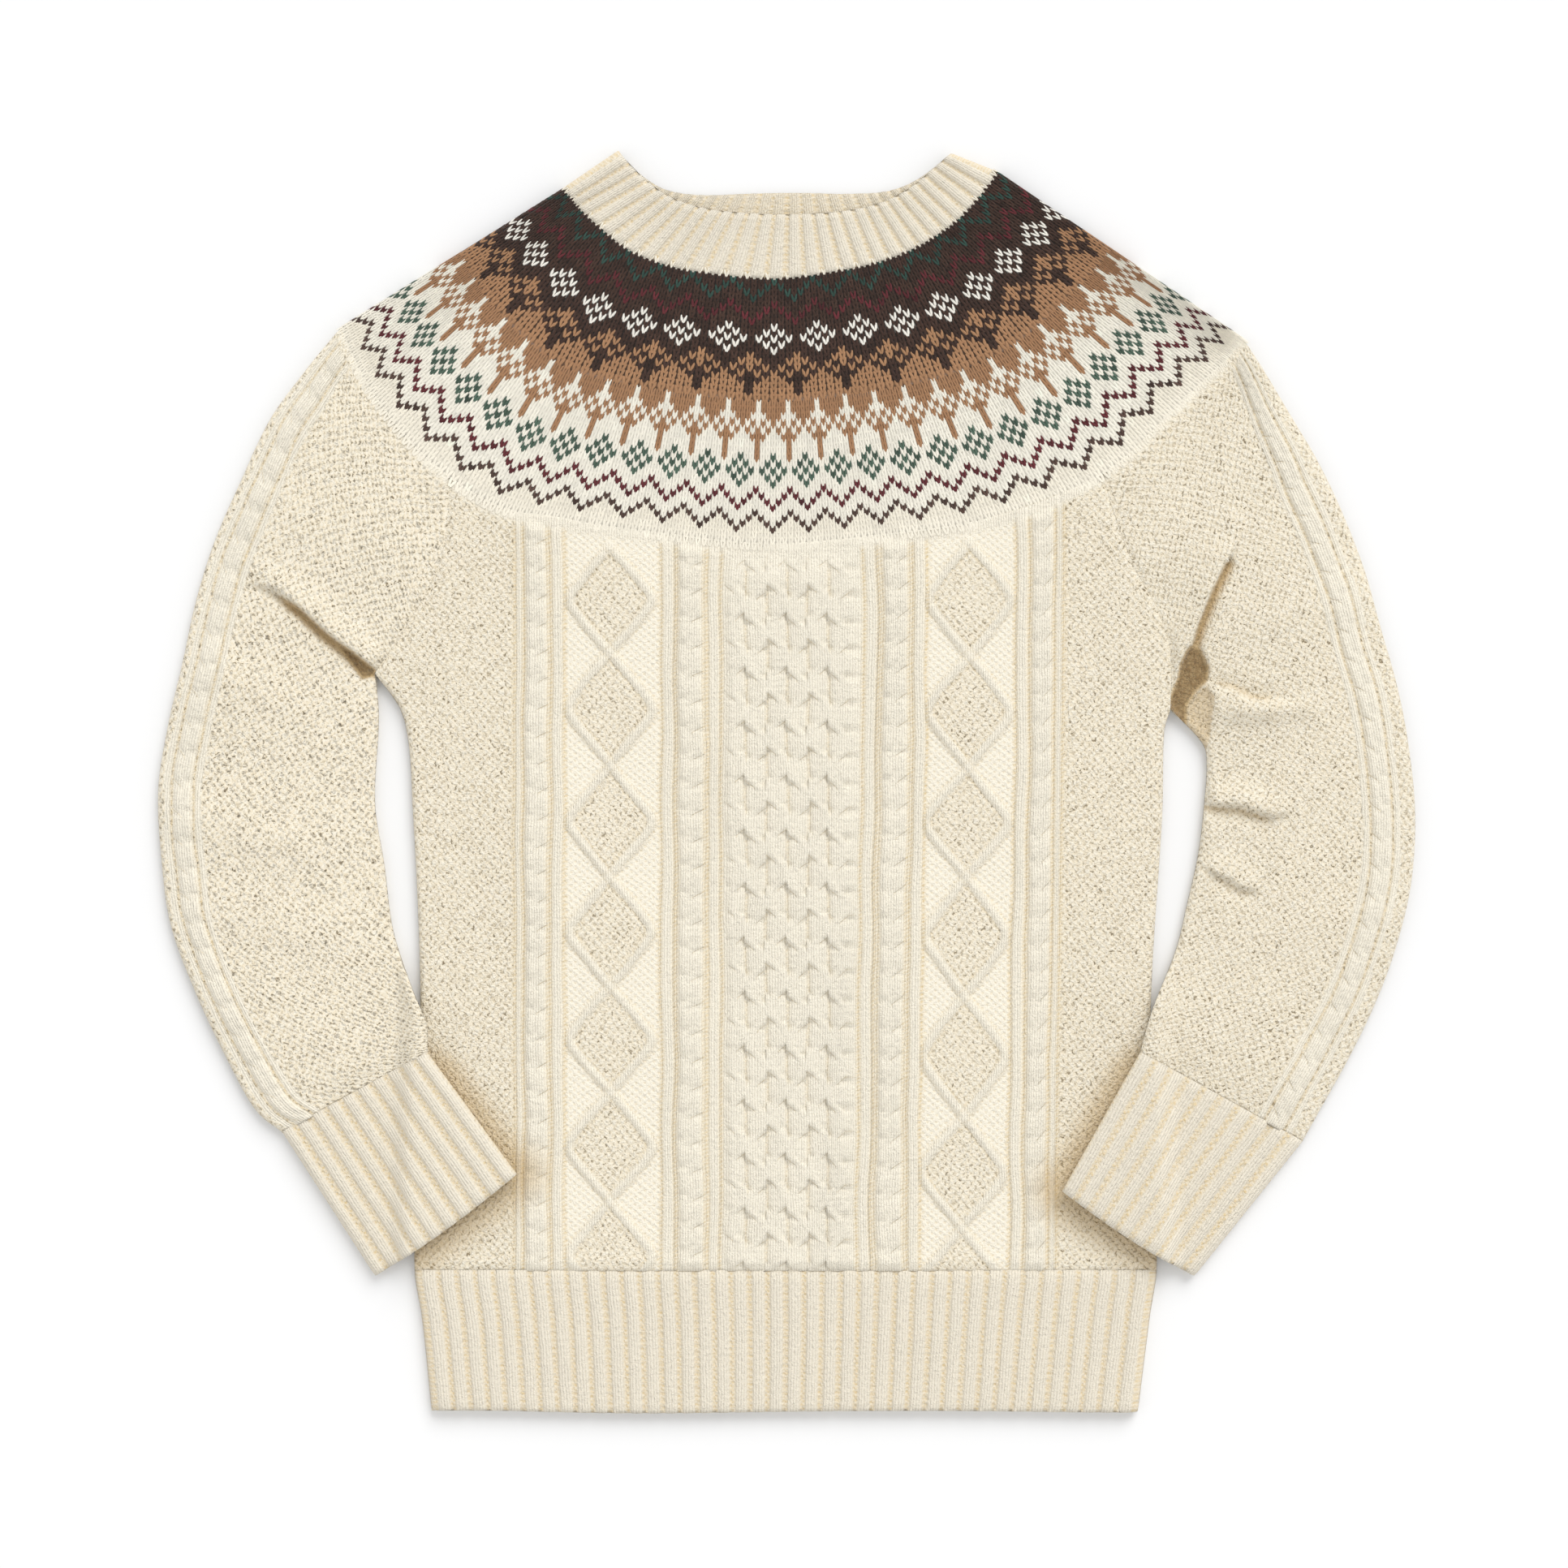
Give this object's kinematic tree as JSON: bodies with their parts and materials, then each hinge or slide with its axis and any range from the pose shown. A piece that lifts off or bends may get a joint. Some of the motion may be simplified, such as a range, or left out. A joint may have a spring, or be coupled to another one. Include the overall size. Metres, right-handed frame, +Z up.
{
  "type": "knitted jumper",
  "caption": "Cream cable knit jumper with a round fair isle yoke, ribbed collar, cuffs and hem, laid flat with its front up.",
  "frame": {"origin": "on the surface it lies on, under the middle of the garment's bounding box", "axes": "+X across the garment towards the sleeve on the right of the picture, +Y from the hem towards the neck, +Z up out of the front"},
  "size_m": [0.667, 0.669, 0.0178],
  "materials": {
    "cream_knit": "matt knitted cotton",
    "cream_rib": "matt ribbed cotton",
    "yoke_knit": "matt stranded colour knitting"
  },
  "bodies": {
    "root": {"body_front": "cream_knit", "body_back": "cream_knit", "hem_rib_front": "cream_rib", "hem_rib_back": "cream_rib", "yoke": "yoke_knit", "collar": "cream_rib", "sleeve_left": "cream_knit", "sleeve_right": "cream_knit", "cuff_left": "cream_rib", "cuff_right": "cream_rib"}
  },
  "joints": []
}
